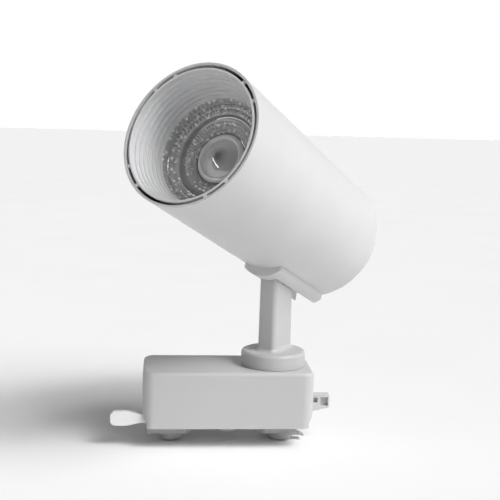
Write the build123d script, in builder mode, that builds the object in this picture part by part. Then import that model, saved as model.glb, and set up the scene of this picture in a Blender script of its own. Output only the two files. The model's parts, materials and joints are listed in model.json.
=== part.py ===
"""Track spotlight: a 35 mm wide track adapter, a swivelling stem and a tilting cylindrical lamp head.

Millimetres, +Z up. The adapter stands below and the lamp above. The origin is the centre of the
adapter's rim, the plane that rests on the track. X runs along the track, Y across it.
"""
import math
import os

from build123d import *

os.makedirs("parts", exist_ok=True)

STANDING = (Align.CENTER, Align.CENTER, Align.MIN)      # centred, standing on its location
HANGING = (Align.CENTER, Align.CENTER, Align.MAX)       # centred, hanging from its location

# ---------------------------------------------------------------- driving dimensions
# track adapter
BOX_LENGTH = 75.5
BOX_WIDTH = 35.0
BOX_HEIGHT = 25.1
BOX_CORNER = 5.0
BOX_TOP_EDGE = 1.6
BOX_WALL = 2.0
FOOT_LENGTH = 71.5          # length of the box at its rim, where both ends step in
FOOT_STEP_LOW = 2.2         # the step-in slants out between these two heights
FOOT_STEP_HIGH = 5.8
BASE_THICK = 1.6
GAP = 0.1                   # assembly gap between fitted pieces
RUN = 0.05                  # radial clearance of a running fit

# turning track heads under the adapter
LOCK_X = -25.3
CONTACT_X = 25.0
HEAD_SHAFT_R = 7.95
HEAD_STUB_R = 5.0
HEAD_HUB_R = 8.5
BOSS_R = 5.9
BOSS_BOTTOM = -9.3
WING_TOP = -2.3
WING_BOTTOM = -5.2
WING_HALF_WIDTH = 7.4
WING_REACH = 10.1
OUTER_REACH = 6.7           # the contact head's wing towards the end of the adapter
CLIP_THICK = 1.0

# stem
STEM_X = 20.77
PAN_DEG = 233.64            # direction the lamp faces at rest
DISC_R = 14.5
DISC_TOP = 32.0
BAR_THICK = 9.0
BAR_TOP_WIDTH = 15.5
BAR_FOOT_WIDTH = 17.0
BAR_CORNER = 2.0
BAR_SET_BACK = 1.1          # the bar stands this far behind the swivel axis
SPIGOT_R = 5.5
PIVOT_Z = 65.45
PIN_R = 1.5

# lamp head
TILT_DEG = 23.42            # elevation of the lamp's axis at rest
AXIS_Z = 98.18              # height where the lamp's axis crosses the swivel axis
TUBE_R = 30.0
TUBE_WALL = 2.0
LIP_WALL = 0.9
MOUTH = 76.0                # along the lamp's axis, from where it crosses the swivel axis
REAR = -45.5
LIP_DEPTH = 16.0
SLOT_HALF = 4.9             # the stem's slot in the saddle, the tube and the heat sink
SLOT_TOP = -20.4
BAFFLE_MOUTH_R = 27.0
BAFFLE_REAR_R = 22.9
BAFFLE_REAR = 58.9
BAFFLE_WALL = 0.9
BAFFLE_LAND = 0.85          # straight start of the baffle at the mouth
BAFFLE_STEPS = 7
BAFFLE_STEP_LONG = 2.17
LENS_FRONT = 55.8
LENS_R = 22.4
LED_SEAT = 28.5             # front face of the heat sink


def save(part, name):
    """Label a finished piece and write its STEP file."""
    part.label = name
    export_step(part, f"parts/{name}.step")


# ---------------------------------------------------------------- frames
FACING = Vector(math.cos(math.radians(PAN_DEG)), math.sin(math.radians(PAN_DEG)), 0)
STEM = Plane(origin=(STEM_X, 0, 0), x_dir=FACING, z_dir=(0, 0, 1))
SIDE = STEM.y_dir           # points to the lamp's right-hand side, along the tilt pin
TO_MOUTH = FACING * math.cos(math.radians(TILT_DEG)) + Vector(0, 0, math.sin(math.radians(TILT_DEG)))
HEAD = Plane(origin=(STEM_X, 0, AXIS_Z), x_dir=SIDE, z_dir=TO_MOUTH)
PIVOT = STEM.from_local_coords(Vector(-BAR_SET_BACK, 0, PIVOT_Z))
PIVOT_U = HEAD.to_local_coords(PIVOT).Z
PIN_PLANE = Plane(origin=PIVOT, x_dir=TO_MOUTH, z_dir=SIDE)
SLOT_FRONT = PIVOT_U + BAR_TOP_WIDTH / 2 + 0.35


def head_plane(along):
    """A plane across the lamp at a distance along its axis: x to its right, y up, z to the mouth."""
    return HEAD.offset(along)


def head_half_plane():
    """The lamp's lengthwise plane, for profiles to revolve: x outwards, y along the axis."""
    return Plane(origin=HEAD.origin, x_dir=HEAD.x_dir, z_dir=-HEAD.y_dir)


# ---------------------------------------------------------------- adapter housing
SCREW_PLACES = [(31.0, -12.2), (13.5, 12.6), (-12.5, -12.6), (-12.5, 12.6)]
BOARD_TOP = 16.0
BOARD_THICK = 1.6
BOARD_POSTS = [(-30.0, 0.0), (5.0, 0.0)]
ROOF = BOX_HEIGHT - 2.2

with BuildPart() as adapter_housing:
    with BuildSketch():
        RectangleRounded(BOX_LENGTH, BOX_WIDTH, BOX_CORNER)
    extrude(amount=BOX_HEIGHT)
    fillet(adapter_housing.faces().sort_by(Axis.Z)[-1].edges(), BOX_TOP_EDGE)
    with BuildSketch(Plane.XZ) as foot_step:
        with BuildLine():
            Polyline(
                (FOOT_LENGTH / 2, -1),
                (FOOT_LENGTH / 2, FOOT_STEP_LOW),
                (BOX_LENGTH / 2, FOOT_STEP_HIGH),
                (BOX_LENGTH / 2 + 1, FOOT_STEP_HIGH),
                (BOX_LENGTH / 2 + 1, -1),
                close=True,
            )
        make_face()
        mirror(about=Plane.YZ)
    extrude(amount=BOX_WIDTH, both=True, mode=Mode.SUBTRACT)
    with BuildSketch():
        RectangleRounded(FOOT_LENGTH - 2 * BOX_WALL, BOX_WIDTH - 2 * BOX_WALL, BOX_CORNER - BOX_WALL)
    extrude(amount=ROOF, mode=Mode.SUBTRACT)
    with BuildSketch(Plane.XY.offset(BASE_THICK)):
        with Locations(*SCREW_PLACES):
            Circle(2.3)
    extrude(amount=ROOF - BASE_THICK + 1)
    with BuildSketch(Plane.XY.offset(BOARD_TOP)):
        with Locations(*BOARD_POSTS):
            Circle(2.2)
    extrude(amount=ROOF - BOARD_TOP + 1)
    with BuildSketch(Plane.XY.offset(BASE_THICK)):
        with Locations(*SCREW_PLACES):
            Circle(0.9)
    extrude(amount=9, mode=Mode.SUBTRACT)
    with BuildSketch(Plane.XY.offset(BOARD_TOP)):
        with Locations(*BOARD_POSTS):
            Circle(0.7)
    extrude(amount=5, mode=Mode.SUBTRACT)
    # hole for the swivel bush, and the rib that stops the swivel short of a full turn
    with Locations((STEM_X, 0, ROOF - 1)):
        Cylinder(7.0, 6, align=STANDING, mode=Mode.SUBTRACT)
    with Locations((STEM_X + 11.0, 0, ROOF - 2.0)):
        Box(4.0, 1.6, 2.5, align=STANDING)
    # slot at the right end, round the rear corner, for the contact lever
    with Locations((CONTACT_X - 3.2, -3.2, 3.2)):
        Box(40, 40, 8.4, align=(Align.MIN, Align.MIN, Align.MIN), mode=Mode.SUBTRACT)
    # gap at the foot of the left end, round the rear corner, for the lock lever
    with Locations((-FOOT_LENGTH / 2 + BOX_WALL + 1.0, -14.4, -1)):
        Box(40, 40, 7.1, align=(Align.MAX, Align.MIN, Align.MIN), mode=Mode.SUBTRACT)
save(adapter_housing.part, "adapter_housing")

# ---------------------------------------------------------------- base insert with its centre guide
with BuildPart() as adapter_base:
    with BuildSketch():
        RectangleRounded(
            FOOT_LENGTH - 2 * BOX_WALL - 2 * GAP, BOX_WIDTH - 2 * BOX_WALL - 2 * GAP, BOX_CORNER - BOX_WALL
        )
        with Locations((-FOOT_LENGTH / 2, 0)):
            Rectangle(8, 24, align=(Align.MIN, Align.CENTER))
    extrude(amount=BASE_THICK)
    with BuildSketch(Plane.XY.offset(-5.5)):
        Circle(6.0)
    extrude(amount=6)
    fillet(adapter_base.faces().sort_by(Axis.Z)[0].edges(), 2.4)
    for x in (LOCK_X, CONTACT_X):
        with Locations((x, 0, -1)):
            Cylinder(HEAD_SHAFT_R + RUN, 5, align=STANDING, mode=Mode.SUBTRACT)
    with Locations(*[Location((x, y, 0), (180, 0, 0)) for x, y in SCREW_PLACES]):
        CounterSinkHole(radius=1.15, counter_sink_radius=2.1, depth=5)
save(adapter_base.part, "adapter_base")

# ---------------------------------------------------------------- screws that hold the base
with BuildPart() as base_screws:
    for x, y in SCREW_PLACES:
        with Locations((x, y, 0.05)):
            Cone(2.0, 0.88, 1.1, align=STANDING)
            Cylinder(0.88, 8, align=STANDING)
            Box(3.0, 0.5, 0.4, align=STANDING, mode=Mode.SUBTRACT)
            Box(0.5, 3.0, 0.4, align=STANDING, mode=Mode.SUBTRACT)
save(base_screws.part, "base_screws")

# ---------------------------------------------------------------- driver electronics
BOARD_LEFT = -33.0
BOARD_RIGHT = 9.0
BOARD_BOTTOM = BOARD_TOP - BOARD_THICK
with BuildPart() as driver_board:
    with BuildSketch(Plane.XY.offset(BOARD_BOTTOM)):
        with Locations(((BOARD_LEFT + BOARD_RIGHT) / 2, 0)):
            RectangleRounded(BOARD_RIGHT - BOARD_LEFT, 19.6, 1.0)
        with Locations(*BOARD_POSTS):
            Circle(1.0, mode=Mode.SUBTRACT)
    extrude(amount=BOARD_THICK)
save(driver_board.part, "driver_board")

with BuildPart() as board_screws:
    for x, y in BOARD_POSTS:
        with Locations((x, y, BOARD_BOTTOM)):
            Cylinder(1.7, 1.1, align=HANGING)
            Cylinder(0.68, 5.5, align=STANDING)
save(board_screws.part, "board_screws")

with BuildPart() as driver_transformer:
    with Locations((-3.5, 0, BOARD_BOTTOM)):
        Box(11, 13, 3, align=HANGING)
        Box(8, 10.5, 9.6, align=HANGING)
    with Locations((-3.5, 0, BOARD_BOTTOM - 6.8)):
        Box(11, 13, 2.6, align=HANGING)
    chamfer(driver_transformer.edges().filter_by(Axis.Z).group_by(Axis.X)[0], 0.6)
    chamfer(driver_transformer.edges().filter_by(Axis.Z).group_by(Axis.X)[-1], 0.6)
save(driver_transformer.part, "driver_transformer")

with BuildPart() as driver_capacitors:
    for y in (-4.6, 4.6):
        with Locations(Location((-13.0, y, BOARD_BOTTOM), (180, 0, 0))):
            Cylinder(3.5, 8.5, align=STANDING)
    fillet(driver_capacitors.edges().group_by(Axis.Z)[0], 0.7)
save(driver_capacitors.part, "driver_capacitors")

CHIPS = [
    (-22.0, 3.0, (6.0, 5.0, 1.6)),
    (-13.0, -3.5, (5.0, 4.0, 1.5)),
    (-4.5, 4.0, (4.5, 6.5, 2.3)),
]
with BuildPart() as driver_chips:
    for x, y, size in CHIPS:
        with Locations((x, y, BOARD_TOP)):
            Box(*size, align=STANDING)
save(driver_chips.part, "driver_chips")

# spring strips that feed the board from the turning contact head
with BuildPart() as line_contacts:
    for y in (-4.0, 4.0):
        with BuildSketch(Plane.XZ.offset(-y)):
            with BuildLine():
                Polyline(
                    (7.0, BOARD_BOTTOM),
                    (7.0, 12.85),
                    (22.0, 12.85),
                    (22.0, 13.2),
                    (7.8, 13.2),
                    (7.8, BOARD_BOTTOM),
                    close=True,
                )
            make_face()
        extrude(amount=1.5, both=True)
save(line_contacts.part, "line_contacts")


# ---------------------------------------------------------------- turning track heads
def turning_head(x, stub_top, groove):
    """Boss, neck and stub of a track head, joined to the wing that is already there."""
    with Locations((x, 0, WING_TOP)):
        Cylinder(HEAD_SHAFT_R, BASE_THICK - WING_TOP + GAP, align=STANDING)
    with Locations((x, 0, WING_BOTTOM)):
        Cylinder(HEAD_STUB_R, stub_top - WING_BOTTOM, align=STANDING)
    with BuildSketch(Plane.XY.offset(groove)) as ring:
        with Locations((x, 0)):
            Circle(HEAD_STUB_R + 1)
            Circle(HEAD_STUB_R - 0.6, mode=Mode.SUBTRACT)
    extrude(ring.sketch, amount=CLIP_THICK, mode=Mode.SUBTRACT)


def boss(x):
    """Round boss below the wing, with a well rounded lower edge, before the rest is added."""
    with Locations((x, 0, BOSS_BOTTOM)):
        Cylinder(BOSS_R, WING_BOTTOM - BOSS_BOTTOM, align=STANDING)


# heights of the levers' hubs, bottom and top
LOCK_HUB = (BASE_THICK + 0.2, 5.6)
CONTACT_HUB = (3.6, 11.2)
# the two contact blades lie side by side, the second one lower
BLADE_Y = 2.0
BLADE_Z = -7.0
BLADE_THICK = 0.8
LOWER_BLADE_Z = -8.2
LOWER_BLADE_THICK = 0.7

with BuildPart() as lock_head:
    boss(LOCK_X)
    fillet(lock_head.faces().sort_by(Axis.Z)[0].edges(), 2.0)
    with BuildSketch(Plane.XY.offset(WING_BOTTOM)):
        with Locations((LOCK_X, 0)):
            Circle(WING_REACH)
            Rectangle(WING_REACH, 2 * WING_REACH, align=(Align.MAX, Align.CENTER))
            Rectangle(2 * WING_REACH, 2 * WING_HALF_WIDTH, mode=Mode.INTERSECT)
    extrude(amount=WING_TOP - WING_BOTTOM)
    turning_head(LOCK_X, LOCK_HUB[1] + 2.4, LOCK_HUB[1])
save(lock_head.part, "lock_head")

with BuildPart() as contact_head:
    boss(CONTACT_X)
    fillet(contact_head.faces().sort_by(Axis.Z)[0].edges(), 2.0)
    with BuildSketch(Plane.XY.offset(WING_BOTTOM)):
        with Locations((CONTACT_X, 0)):
            Circle(WING_REACH + 0.6)
            Rectangle(
                WING_REACH + OUTER_REACH,
                2 * WING_HALF_WIDTH,
                align=(Align.MAX, Align.CENTER),
                mode=Mode.INTERSECT,
            )
            Rectangle(OUTER_REACH, 2 * WING_HALF_WIDTH, align=(Align.MIN, Align.CENTER))
    extrude(amount=WING_TOP - WING_BOTTOM)
    turning_head(CONTACT_X, CONTACT_HUB[1] + 1.4, CONTACT_HUB[1])
    # pockets for the two contact blades
    with Locations((CONTACT_X, -BLADE_Y, BLADE_Z)):
        Box(11, 4.0, BLADE_THICK, align=(Align.MIN, Align.CENTER, Align.MIN), mode=Mode.SUBTRACT)
    with Locations((CONTACT_X, BLADE_Y, LOWER_BLADE_Z)):
        Box(11, 4.0, LOWER_BLADE_THICK, align=(Align.MAX, Align.CENTER, Align.MIN), mode=Mode.SUBTRACT)
save(contact_head.part, "contact_head")

with BuildPart() as contact_blades:
    with BuildSketch(Plane.XZ.offset(BLADE_Y)):
        with BuildLine():
            Polyline(
                (CONTACT_X, BLADE_Z),
                (CONTACT_X + 8.6, BLADE_Z),
                (CONTACT_X + 10.2, BLADE_Z - 0.6),
                (CONTACT_X + 10.4, BLADE_Z - 0.1),
                (CONTACT_X + 8.6, BLADE_Z + BLADE_THICK),
                (CONTACT_X, BLADE_Z + BLADE_THICK),
                close=True,
            )
        make_face()
    extrude(amount=1.9, both=True)
    with Locations((CONTACT_X, BLADE_Y, LOWER_BLADE_Z)):
        Box(8.4, 3.8, LOWER_BLADE_THICK, align=(Align.MAX, Align.CENTER, Align.MIN))
save(contact_blades.part, "contact_blades")


def clip(x, bottom):
    """Open retaining clip that sits in the stub's groove."""
    with BuildSketch(Plane.XY.offset(bottom)) as ring:
        with Locations((x, 0)):
            Circle(HEAD_STUB_R + 1.8)
            Circle(HEAD_STUB_R - 0.6, mode=Mode.SUBTRACT)
            Rectangle(5.0, 12, align=(Align.CENTER, Align.MIN), mode=Mode.SUBTRACT)
    extrude(ring.sketch, amount=CLIP_THICK)


with BuildPart() as lock_clip:
    clip(LOCK_X, LOCK_HUB[1])
save(lock_clip.part, "lock_clip")

with BuildPart() as contact_clip:
    clip(CONTACT_X, CONTACT_HUB[1])
save(contact_clip.part, "contact_clip")

# ---------------------------------------------------------------- levers that turn the heads
ARM_FRONT = -13.8
ARM_BACK = -11.2
ARM_ROOT = LOCK_X - 12.0
PADDLE_X = -46.0            # where the arm has widened to its paddle
LOCK_TIP = -51.6
with BuildPart() as lock_lever:
    with BuildSketch(Plane.XY.offset(LOCK_HUB[0])):
        with Locations((LOCK_X, 0)):
            Circle(HEAD_HUB_R)
            Polygon(
                (-8.0, 0),
                (0, -8.4),
                (-3.0, ARM_FRONT),
                (-13.0, ARM_FRONT),
                (-13.0, ARM_BACK),
                align=None,
            )
            Circle(HEAD_STUB_R, mode=Mode.SUBTRACT)
    extrude(amount=LOCK_HUB[1] - LOCK_HUB[0])
    with BuildSketch(Plane.XZ.offset(-ARM_BACK)):
        with BuildLine():
            Line((ARM_ROOT, LOCK_HUB[0]), (ARM_ROOT, LOCK_HUB[1]))
            Spline((ARM_ROOT, LOCK_HUB[1]), (-41.5, 6.1), (PADDLE_X, 6.8), tangents=((-1, 0), (-1, 0)))
            Polyline((PADDLE_X, 6.8), (LOCK_TIP, 6.6), (LOCK_TIP, 0.6), (PADDLE_X, 0.4))
            Spline((PADDLE_X, 0.4), (-41.5, 1.1), (ARM_ROOT, LOCK_HUB[0]), tangents=((1, 0), (1, 0)))
        make_face()
    extrude(amount=ARM_BACK - ARM_FRONT)
    fillet(lock_lever.faces().sort_by(Axis.X)[0].edges().filter_by(Axis.Y), 2.0)
save(lock_lever.part, "lock_lever")

CONTACT_TIP = CONTACT_X + 22.3
LEVER_HALF = 2.5
with BuildPart() as contact_lever:
    with BuildSketch(Plane.XY.offset(CONTACT_HUB[0])):
        with Locations((CONTACT_X, 0)):
            Circle(HEAD_HUB_R)
            Circle(HEAD_STUB_R, mode=Mode.SUBTRACT)
    extrude(amount=CONTACT_HUB[1] - CONTACT_HUB[0])
    with BuildSketch(Plane.XZ.offset(-LEVER_HALF)):
        with BuildLine():
            Polyline(
                (CONTACT_X + 7.5, CONTACT_HUB[0]),
                (CONTACT_X + 14.0, CONTACT_HUB[0]),
                (CONTACT_TIP, CONTACT_HUB[0] + 1.9),
                (CONTACT_TIP, CONTACT_HUB[1]),
                (CONTACT_X + 7.5, CONTACT_HUB[1]),
                close=True,
            )
        make_face()
    extrude(amount=2 * LEVER_HALF)
    fillet(contact_lever.faces().sort_by(Axis.X)[-1].edges(), 0.7)
    # two moulded pockets in the lever's front face
    with Locations((CONTACT_X + 15.6, -LEVER_HALF, 8.9)):
        Box(2.0, 3.6, 2.4, mode=Mode.SUBTRACT)
    with Locations((CONTACT_X + 19.6, -LEVER_HALF, 8.2)):
        Box(3.4, 3.6, 4.0, mode=Mode.SUBTRACT)
save(contact_lever.part, "contact_lever")

# ---------------------------------------------------------------- swivel
with BuildPart() as swivel_bush:
    with Locations((STEM_X, 0, ROOF)):
        Cylinder(7.0, BOX_HEIGHT - ROOF, align=STANDING)
        Cylinder(8.5, 1.0, align=HANGING)
    with Locations((STEM_X, 0, ROOF - 2)):
        Cylinder(SPIGOT_R + RUN, 8, align=STANDING, mode=Mode.SUBTRACT)
save(swivel_bush.part, "swivel_bush")

WASHER_TOP = ROOF - 1.0 - GAP
WASHER_THICK = 0.9
SPIGOT_BOTTOM = 17.6
with BuildPart() as swivel_washer:
    with BuildSketch(Plane.XY.offset(WASHER_TOP - WASHER_THICK)):
        with Locations((STEM_X, 0)):
            Circle(8.4)
            Rectangle(10.6, 1.8, align=(Align.MAX, Align.CENTER))
            Circle(SPIGOT_R, mode=Mode.SUBTRACT)
    extrude(amount=WASHER_THICK)
save(swivel_washer.part, "swivel_washer")

with BuildPart() as swivel_nut:
    with BuildSketch(Plane.XY.offset(SPIGOT_BOTTOM + 0.3)):
        with Locations((STEM_X, 0)):
            RegularPolygon(7.6, 6)
            Circle(SPIGOT_R, mode=Mode.SUBTRACT)
    extrude(amount=WASHER_TOP - WASHER_THICK - SPIGOT_BOTTOM - 0.3)
save(swivel_nut.part, "swivel_nut")

# ---------------------------------------------------------------- stem
STEM_SIDE = Plane(origin=STEM.origin, x_dir=FACING, z_dir=-SIDE)
LEAD_R = 1.5
LEAD_SHIFT = 2.9            # the lead passes in front of the tilt pin
with BuildPart() as stem:
    # the bar stands upright in this sketch: x towards the lamp's facing direction, y up
    with BuildSketch(STEM_SIDE.offset(-BAR_THICK / 2)):
        with BuildLine():
            half_top = BAR_TOP_WIDTH / 2
            half_foot = BAR_FOOT_WIDTH / 2
            Polyline(
                (-BAR_SET_BACK - half_top, PIVOT_Z),
                (-BAR_SET_BACK - half_foot, DISC_TOP - 1),
                (-BAR_SET_BACK + half_foot, DISC_TOP - 1),
                (-BAR_SET_BACK + half_top, PIVOT_Z),
            )
            ThreePointArc(
                (-BAR_SET_BACK + half_top, PIVOT_Z),
                (-BAR_SET_BACK, PIVOT_Z + half_top),
                (-BAR_SET_BACK - half_top, PIVOT_Z),
            )
        make_face()
    extrude(amount=BAR_THICK)
    long_edges = stem.edges().filter_by(lambda e: e.length > 20)
    fillet(long_edges, BAR_CORNER)
    with BuildSketch(Plane.XY.offset(BOX_HEIGHT + 0.15)):
        with Locations((STEM_X, 0)):
            Circle(DISC_R)
    extrude(amount=DISC_TOP - BOX_HEIGHT - 0.15)
    foot_edges = stem.edges().filter_by_position(Axis.Z, DISC_TOP - 0.01, DISC_TOP + 0.01)
    disc_edge = foot_edges.sort_by(SortBy.LENGTH)[-1]
    fillet(disc_edge, 1.5)
    foot_edges = stem.edges().filter_by_position(Axis.Z, DISC_TOP - 0.01, DISC_TOP + 0.01)
    fillet(foot_edges.filter_by(lambda e: (e.center() - Vector(STEM_X, 0, DISC_TOP)).length > 0.5), 2.2)
    with Locations((STEM_X, 0, SPIGOT_BOTTOM)):
        Cylinder(SPIGOT_R, BOX_HEIGHT - SPIGOT_BOTTOM + 1, align=STANDING)
    # cable passage: a wide bore up the spigot, then a narrow one up the bar
    with Locations((STEM_X, 0, SPIGOT_BOTTOM)):
        Cylinder(4.6, 7.5, align=STANDING, mode=Mode.SUBTRACT)
    with BuildSketch(STEM.offset(SPIGOT_BOTTOM)):
        with Locations((LEAD_SHIFT, 0)):
            Circle(LEAD_R + 0.15)
    extrude(amount=60, mode=Mode.SUBTRACT)
    # hole for the tilt pin
    with BuildSketch(PIN_PLANE.offset(-10)):
        Circle(PIN_R + RUN)
    extrude(amount=20, mode=Mode.SUBTRACT)
save(stem.part, "stem")

# ---------------------------------------------------------------- low-voltage lead, one length per body
BOARD_MID = (BOARD_TOP + BOARD_BOTTOM) / 2
LEAD_RISE = 15.2


def lead(path_points, radii):
    """Round two-core lead along straight runs joined by arcs, in the part's frame."""
    with BuildLine() as run:
        route = FilletPolyline(*path_points, radius=radii)
    with BuildSketch(Plane(origin=route @ 0, z_dir=route % 0)) as section:
        Circle(LEAD_R)
    sweep(section.sketch, path=run.line)
    expected = math.pi * LEAD_R**2 * route.length
    print(f"lead: length {route.length:.1f}, radii {radii}, tube volume {expected:.1f}")


def in_stem(forward, z):
    return STEM.from_local_coords(Vector(forward, 0, z))


def in_head(up, along):
    return HEAD.from_local_coords(Vector(0, up, along))


with BuildPart() as driver_lead:
    lead([(BOARD_RIGHT + 0.02, 0, LEAD_RISE), (STEM_X, 0, LEAD_RISE), (STEM_X, 0, LEAD_RISE + 3.4)], 3.2)
save(driver_lead.part, "driver_lead")

with BuildPart() as stem_lead:
    lead(
        [in_stem(0, 19.0), in_stem(0, 20.2), in_stem(LEAD_SHIFT, 24.4), in_stem(LEAD_SHIFT, PIVOT_Z + 6.0)],
        [1.8, 3.0],
    )
save(stem_lead.part, "stem_lead")

HEAD_LEAD_V = -17.6
with BuildPart() as head_lead:
    lead([in_head(HEAD_LEAD_V, -9.0), in_head(HEAD_LEAD_V, 24.0), in_head(-15.8, LED_SEAT + 3.8)], [12.0])
save(head_lead.part, "head_lead")

# ---------------------------------------------------------------- screws between tube and saddle
SADDLE_SCREWS = [(0.0, -2.9), (-7.2, -38.0), (7.2, -38.0)]
SADDLE_SCREW_R = 0.8


def saddle_screw_plane(across, along):
    """Plane on the tube's inner wall, its normal pointing outwards through the wall."""
    lean = math.degrees(math.asin(across / TUBE_R))
    return Plane(head_plane(along) * Rot(0, 0, lean) * Pos(0, -TUBE_R + TUBE_WALL, 0) * Rot(90, 0, 0))


# ---------------------------------------------------------------- lamp tube
with BuildPart() as lamp_tube:
    with BuildSketch(head_plane(REAR)):
        Circle(TUBE_R)
    extrude(amount=MOUTH - REAR)
    fillet(lamp_tube.edges().sort_by(lambda e: HEAD.to_local_coords(e.center()).Z)[0], 0.8)
    with BuildSketch(head_plane(REAR - 1)):
        Circle(TUBE_R - TUBE_WALL)
    extrude(amount=MOUTH - REAR + 2, mode=Mode.SUBTRACT)
    with BuildSketch(head_plane(MOUTH - LIP_DEPTH)):
        Circle(TUBE_R - LIP_WALL)
    extrude(amount=LIP_DEPTH + 1, mode=Mode.SUBTRACT)
    with BuildSketch(head_plane(REAR - 1)):
        with Locations((0, SLOT_TOP)):
            Rectangle(2 * SLOT_HALF, 20, align=(Align.CENTER, Align.MAX))
    extrude(amount=SLOT_FRONT - REAR + 1, mode=Mode.SUBTRACT)
    with BuildSketch(PIN_PLANE.offset(-7.5)):
        Circle(PIN_R)
    extrude(amount=15, mode=Mode.SUBTRACT)
    for across, along in SADDLE_SCREWS:
        with BuildSketch(saddle_screw_plane(across, along).offset(-GAP)):
            Circle(SADDLE_SCREW_R)
        extrude(amount=TUBE_WALL + 1.4, mode=Mode.SUBTRACT)
save(lamp_tube.part, "lamp_tube")

# ---------------------------------------------------------------- saddle under the tube
SADDLE_ARC_R = 14.0
SADDLE_ARC_V = -19.9
SADDLE_HALF = 9.5
saddle_plan = Plane(origin=HEAD.origin, x_dir=HEAD.x_dir, z_dir=HEAD.y_dir).offset(-45)
with BuildPart() as saddle:
    with BuildSketch(head_plane(REAR)):
        with Locations((0, SADDLE_ARC_V)):
            Circle(SADDLE_ARC_R)
        Rectangle(2 * SADDLE_HALF, 80, mode=Mode.INTERSECT)
        with Locations((0, -25)):
            Rectangle(2 * SADDLE_HALF, 20, align=(Align.CENTER, Align.MAX), mode=Mode.INTERSECT)
    extrude(amount=-REAR)
    # corners seen from below: small at the front, larger at the rear
    with BuildSketch(saddle_plan) as plan:
        with Locations((0, -REAR / 2)):
            Rectangle(2 * SADDLE_HALF, -REAR)
        fillet(plan.vertices().group_by(Axis.Y)[0], 1.2)
        fillet(plan.vertices().group_by(Axis.Y)[-1], 3.0)
    extrude(amount=40, mode=Mode.INTERSECT)
    with BuildSketch(head_plane(REAR - 1)):
        Circle(TUBE_R)
    extrude(amount=60, mode=Mode.SUBTRACT)
    with BuildSketch(head_plane(REAR - 1)):
        with Locations((0, SLOT_TOP)):
            Rectangle(2 * SLOT_HALF, 20, align=(Align.CENTER, Align.MAX))
    extrude(amount=SLOT_FRONT - REAR + 1, mode=Mode.SUBTRACT)
    with BuildSketch(PIN_PLANE.offset(-7.5)):
        Circle(PIN_R)
    extrude(amount=15, mode=Mode.SUBTRACT)
    for across, along in SADDLE_SCREWS:
        with BuildSketch(saddle_screw_plane(across, along)):
            Circle(SADDLE_SCREW_R)
        extrude(amount=TUBE_WALL + 1.4, mode=Mode.SUBTRACT)
save(saddle.part, "saddle")

# ---------------------------------------------------------------- tilt pivot
with BuildPart() as pivot_pin:
    with BuildSketch(PIN_PLANE.offset(-7.4)):
        Circle(PIN_R)
    extrude(amount=14.8)
save(pivot_pin.part, "pivot_pin")

with BuildPart() as pivot_washers:
    for start in (-SLOT_HALF, BAR_THICK / 2 + RUN):
        with BuildSketch(PIN_PLANE.offset(start)):
            Circle(3.6)
            Circle(PIN_R, mode=Mode.SUBTRACT)
        extrude(amount=SLOT_HALF - BAR_THICK / 2 - RUN)
save(pivot_washers.part, "pivot_washers")

# screws through the tube's wall into the saddle, heads inside the tube
with BuildPart() as saddle_screws:
    for across, along in SADDLE_SCREWS:
        with BuildSketch(saddle_screw_plane(across, along).offset(-GAP)):
            Circle(2 * SADDLE_SCREW_R)
        extrude(amount=-1.1)
        with BuildSketch(saddle_screw_plane(across, along).offset(-GAP)):
            Circle(SADDLE_SCREW_R)
        extrude(amount=TUBE_WALL + 1.4)
save(saddle_screws.part, "saddle_screws")

# ---------------------------------------------------------------- stepped anti-glare baffle
BAFFLE_FRONT = MOUTH - 0.15
BRIDGE_PAIRS = [40, 130, 220, 310]   # degrees from the lamp's top; each pair is 10 degrees either side
BRIDGE_SPREAD = 10
BRIDGE_START = BAFFLE_MOUTH_R + 0.5
BRIDGE_LONG = TUBE_R - LIP_WALL - GAP - BRIDGE_START
with BuildPart() as baffle:
    with BuildSketch(head_half_plane()):
        step_in = (BAFFLE_MOUTH_R - BAFFLE_REAR_R) / BAFFLE_STEPS
        outline = [(BAFFLE_MOUTH_R + BAFFLE_WALL, BAFFLE_FRONT), (BAFFLE_MOUTH_R, BAFFLE_FRONT)]
        for step in range(1, BAFFLE_STEPS + 1):
            tread = BAFFLE_FRONT - BAFFLE_LAND - step * BAFFLE_STEP_LONG
            outline.append((BAFFLE_MOUTH_R - (step - 0.75) * step_in, tread))
            outline.append((BAFFLE_MOUTH_R - step * step_in, tread))
        outline.append((BAFFLE_REAR_R, BAFFLE_REAR))
        outline.append((TUBE_R - TUBE_WALL - GAP, BAFFLE_REAR))
        outline.append((TUBE_R - TUBE_WALL - GAP, BAFFLE_REAR + 1.2))
        outline.append((BAFFLE_REAR_R + BAFFLE_WALL, BAFFLE_REAR + 1.2))
        outline.append((BAFFLE_MOUTH_R + BAFFLE_WALL, BAFFLE_FRONT - 4.0))
        with BuildLine():
            Polyline(*outline, close=True)
        make_face()
    revolve(axis=Axis(HEAD.origin, HEAD.z_dir))
    # bridges across the dark gap between the baffle and the tube's lip
    with BuildSketch(head_plane(BAFFLE_FRONT - 1.4)):
        for pair in BRIDGE_PAIRS:
            for spread in (-BRIDGE_SPREAD, BRIDGE_SPREAD):
                with PolarLocations(BRIDGE_START, 1, start_angle=90 + pair + spread):
                    Rectangle(BRIDGE_LONG, 1.5, align=(Align.MIN, Align.CENTER))
    extrude(amount=1.2)
save(baffle.part, "baffle")

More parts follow.
